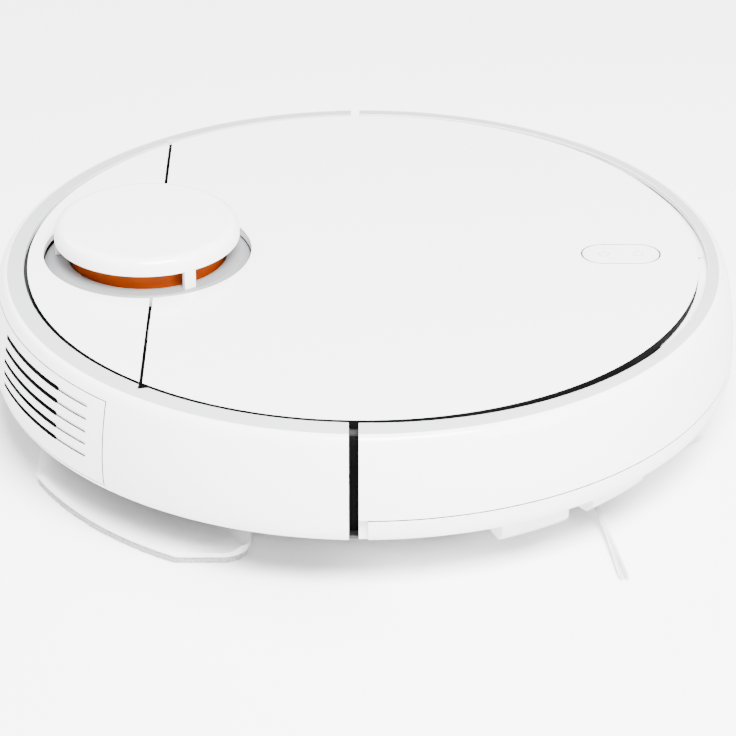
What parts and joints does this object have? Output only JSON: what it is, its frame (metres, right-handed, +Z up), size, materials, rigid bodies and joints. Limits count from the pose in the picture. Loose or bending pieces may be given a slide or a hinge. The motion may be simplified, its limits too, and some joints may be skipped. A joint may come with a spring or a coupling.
{
  "type": "robot vacuum",
  "caption": "Low round floor-cleaning robot with a raised laser turret, bumper ring, hinged lid over a dust bin, roller brush, side brush, driven wheels and a slide-on mop plate.",
  "frame": {"origin": "on the floor, under the centre of the round body", "axes": "+X is the driving direction (the bumper side), +Y is the robot's left, +Z is up"},
  "size_m": [0.35, 0.35, 0.0945],
  "materials": {
    "white_shell": "gloss moulded",
    "pale_shell": "satin moulded",
    "grey_plastic": "satin moulded",
    "dark_plastic": "fine moulded texture",
    "smoked_window": "polished, infrared-clear",
    "orange_window": "polished, tinted",
    "steel": "turned and drawn",
    "gold_contact": "plated",
    "tyre_rubber": "moulded tread",
    "seal_rubber": "soft lip",
    "battery_wrap": "shrink wrap",
    "circuit_board": "solder mask",
    "smoked_bin": "tinted clear",
    "filter_paper": "pleated fleece",
    "bristle": "nylon filament",
    "brush_rubber": "soft vanes",
    "mop_fabric": "looped microfibre"
  },
  "bodies": {
    "chassis": {"base_plate": "pale_shell", "inner_frame": "dark_plastic", "rear_shell": "white_shell", "rear_panel": "white_shell", "upper_deck": "pale_shell", "lid_seal": "seal_rubber", "rear_top_cover": "white_shell", "hinge_pins": "steel", "lidar_base": "grey_plastic", "lidar_cap": "white_shell", "lidar_bearing": "steel", "lidar_motor": "steel", "lidar_belt": "seal_rubber", "battery": "battery_wrap", "battery_cover": "dark_plastic", "main_board": "circuit_board", "speaker": "dark_plastic", "fan_housing": "dark_plastic", "fan_motor": "steel", "fan_duct": "dark_plastic", "brush_housing": "dark_plastic", "brush_guard": "dark_plastic", "brush_gearbox": "grey_plastic", "brush_motor": "steel", "side_brush_drive": "grey_plastic", "switch_board": "circuit_board", "bumper_switches": "dark_plastic", "charging_contacts": "gold_contact", "cliff_windows": "smoked_window", "base_screws": "steel", "bumper_springs": "steel", "left_wheel_spring": "steel", "right_wheel_spring": "steel"},
    "bumper": {"bumper": "white_shell", "bumper_trim": "white_shell"},
    "lid": {"lid": "white_shell", "button_bezel": "dark_plastic"},
    "button": {"button_rocker": "white_shell"},
    "lidar_head": {"lidar_rotor": "orange_window"},
    "lidar_pulley": {"lidar_pulley": "dark_plastic"},
    "dust_bin": {"dust_bin": "smoked_bin", "bin_lid": "pale_shell", "bin_filter": "filter_paper"},
    "main_brush": {"main_brush_core": "dark_plastic", "main_brush_blades": "brush_rubber"},
    "brush_idler": {"brush_idler": "pale_shell"},
    "brush_pinion": {"brush_pinion": "pale_shell"},
    "side_brush": {"side_brush_hub": "dark_plastic", "side_brush_bristles": "bristle"},
    "fan_impeller": {"fan_impeller": "grey_plastic"},
    "left_arm": {"left_wheel_arm": "dark_plastic"},
    "left_wheel": {"left_wheel_hub": "grey_plastic", "left_tyre": "tyre_rubber"},
    "right_arm": {"right_wheel_arm": "dark_plastic"},
    "right_wheel": {"right_wheel_hub": "grey_plastic", "right_tyre": "tyre_rubber"},
    "caster": {"caster_fork": "dark_plastic"},
    "caster_wheel": {"caster_wheel": "pale_shell"},
    "mop": {"mop_plate": "white_shell", "mop_cloth": "mop_fabric"}
  },
  "joints": [
    {"name": "lid_hinge", "type": "hinge", "parent": "chassis", "child": "lid", "pos_m": [-0.09485, 0, 0.0751], "axis": [0, -1, 0], "range_deg": [0, 70]},
    {"name": "bumper_slide", "type": "slide", "parent": "chassis", "child": "bumper", "axis": [-1, 0, 0], "range_m": [0, 0.004], "stiffness_N_per_m": 500, "springref_m": -0.004, "deforming": ["bumper_springs"]},
    {"name": "button_rock", "type": "hinge", "parent": "lid", "child": "button", "pos_m": [0.121, 0, 0.077], "axis": [0, 1, 0], "range_deg": [-1.5, 1.5], "stiffness_Nm_per_rad": 0.08},
    {"name": "lidar_spin", "type": "hinge", "parent": "chassis", "child": "lidar_head", "pos_m": [-0.1014, 0.0045, 0.0774], "axis": [0, 0, 1], "continuous": true},
    {"name": "lidar_pulley_spin", "type": "hinge", "parent": "chassis", "child": "lidar_pulley", "pos_m": [-0.12454, 0.03208, 0.0634], "axis": [0, 0, 1], "continuous": true},
    {"name": "dust_bin_lift", "type": "slide", "parent": "chassis", "child": "dust_bin", "axis": [0, 0, 1], "range_m": [0, 0.03]},
    {"name": "main_brush_spin", "type": "hinge", "parent": "chassis", "child": "main_brush", "pos_m": [-0.008, 0, 0.02], "axis": [0, 1, 0], "continuous": true},
    {"name": "brush_idler_spin", "type": "hinge", "parent": "chassis", "child": "brush_idler", "pos_m": [-0.008, 0.0825, 0.038], "axis": [0, 1, 0], "continuous": true},
    {"name": "brush_pinion_spin", "type": "hinge", "parent": "chassis", "child": "brush_pinion", "pos_m": [-0.008, 0.0825, 0.0515], "axis": [0, 1, 0], "continuous": true},
    {"name": "side_brush_spin", "type": "hinge", "parent": "chassis", "child": "side_brush", "pos_m": [0.10068, -0.08599, 0.012], "axis": [0, 0, 1], "continuous": true},
    {"name": "fan_spin", "type": "hinge", "parent": "chassis", "child": "fan_impeller", "pos_m": [-0.09993, -0.07102, 0.035], "axis": [0, 0, 1], "continuous": true},
    {"name": "left_arm_swing", "type": "hinge", "parent": "chassis", "child": "left_arm", "pos_m": [0.044, 0.096, 0.04], "axis": [0, 1, 0], "range_deg": [-25, 0], "stiffness_Nm_per_rad": 0.25, "springref_deg": -57.3, "deforming": ["left_wheel_spring"]},
    {"name": "left_wheel_spin", "type": "hinge", "parent": "left_arm", "child": "left_wheel", "pos_m": [0, 0.115, 0.035], "axis": [0, 1, 0], "continuous": true},
    {"name": "right_arm_swing", "type": "hinge", "parent": "chassis", "child": "right_arm", "pos_m": [0.044, -0.096, 0.04], "axis": [0, 1, 0], "range_deg": [-25, 0], "stiffness_Nm_per_rad": 0.25, "springref_deg": -57.3, "deforming": ["right_wheel_spring"]},
    {"name": "right_wheel_spin", "type": "hinge", "parent": "right_arm", "child": "right_wheel", "pos_m": [0, -0.115, 0.035], "axis": [0, 1, 0], "continuous": true},
    {"name": "caster_swivel", "type": "hinge", "parent": "chassis", "child": "caster", "pos_m": [0.138, 0, 0.012], "axis": [0, 0, 1], "continuous": true},
    {"name": "caster_roll", "type": "hinge", "parent": "caster", "child": "caster_wheel", "pos_m": [0.134, 0, 0.012], "axis": [0, 1, 0], "continuous": true},
    {"name": "mop_slide_off", "type": "slide", "parent": "chassis", "child": "mop", "axis": [-1, 0, 0], "range_m": [0, 0.03]}
  ],
  "couplings": [
    {"joint": "lidar_pulley_spin", "follows": "lidar_spin", "ratio": 4.2653},
    {"joint": "dust_bin_lift", "follows": "lid_hinge", "m_per_rad": 0.02455},
    {"joint": "brush_idler_spin", "follows": "main_brush_spin", "ratio": -1},
    {"joint": "brush_pinion_spin", "follows": "main_brush_spin", "ratio": 2}
  ]
}
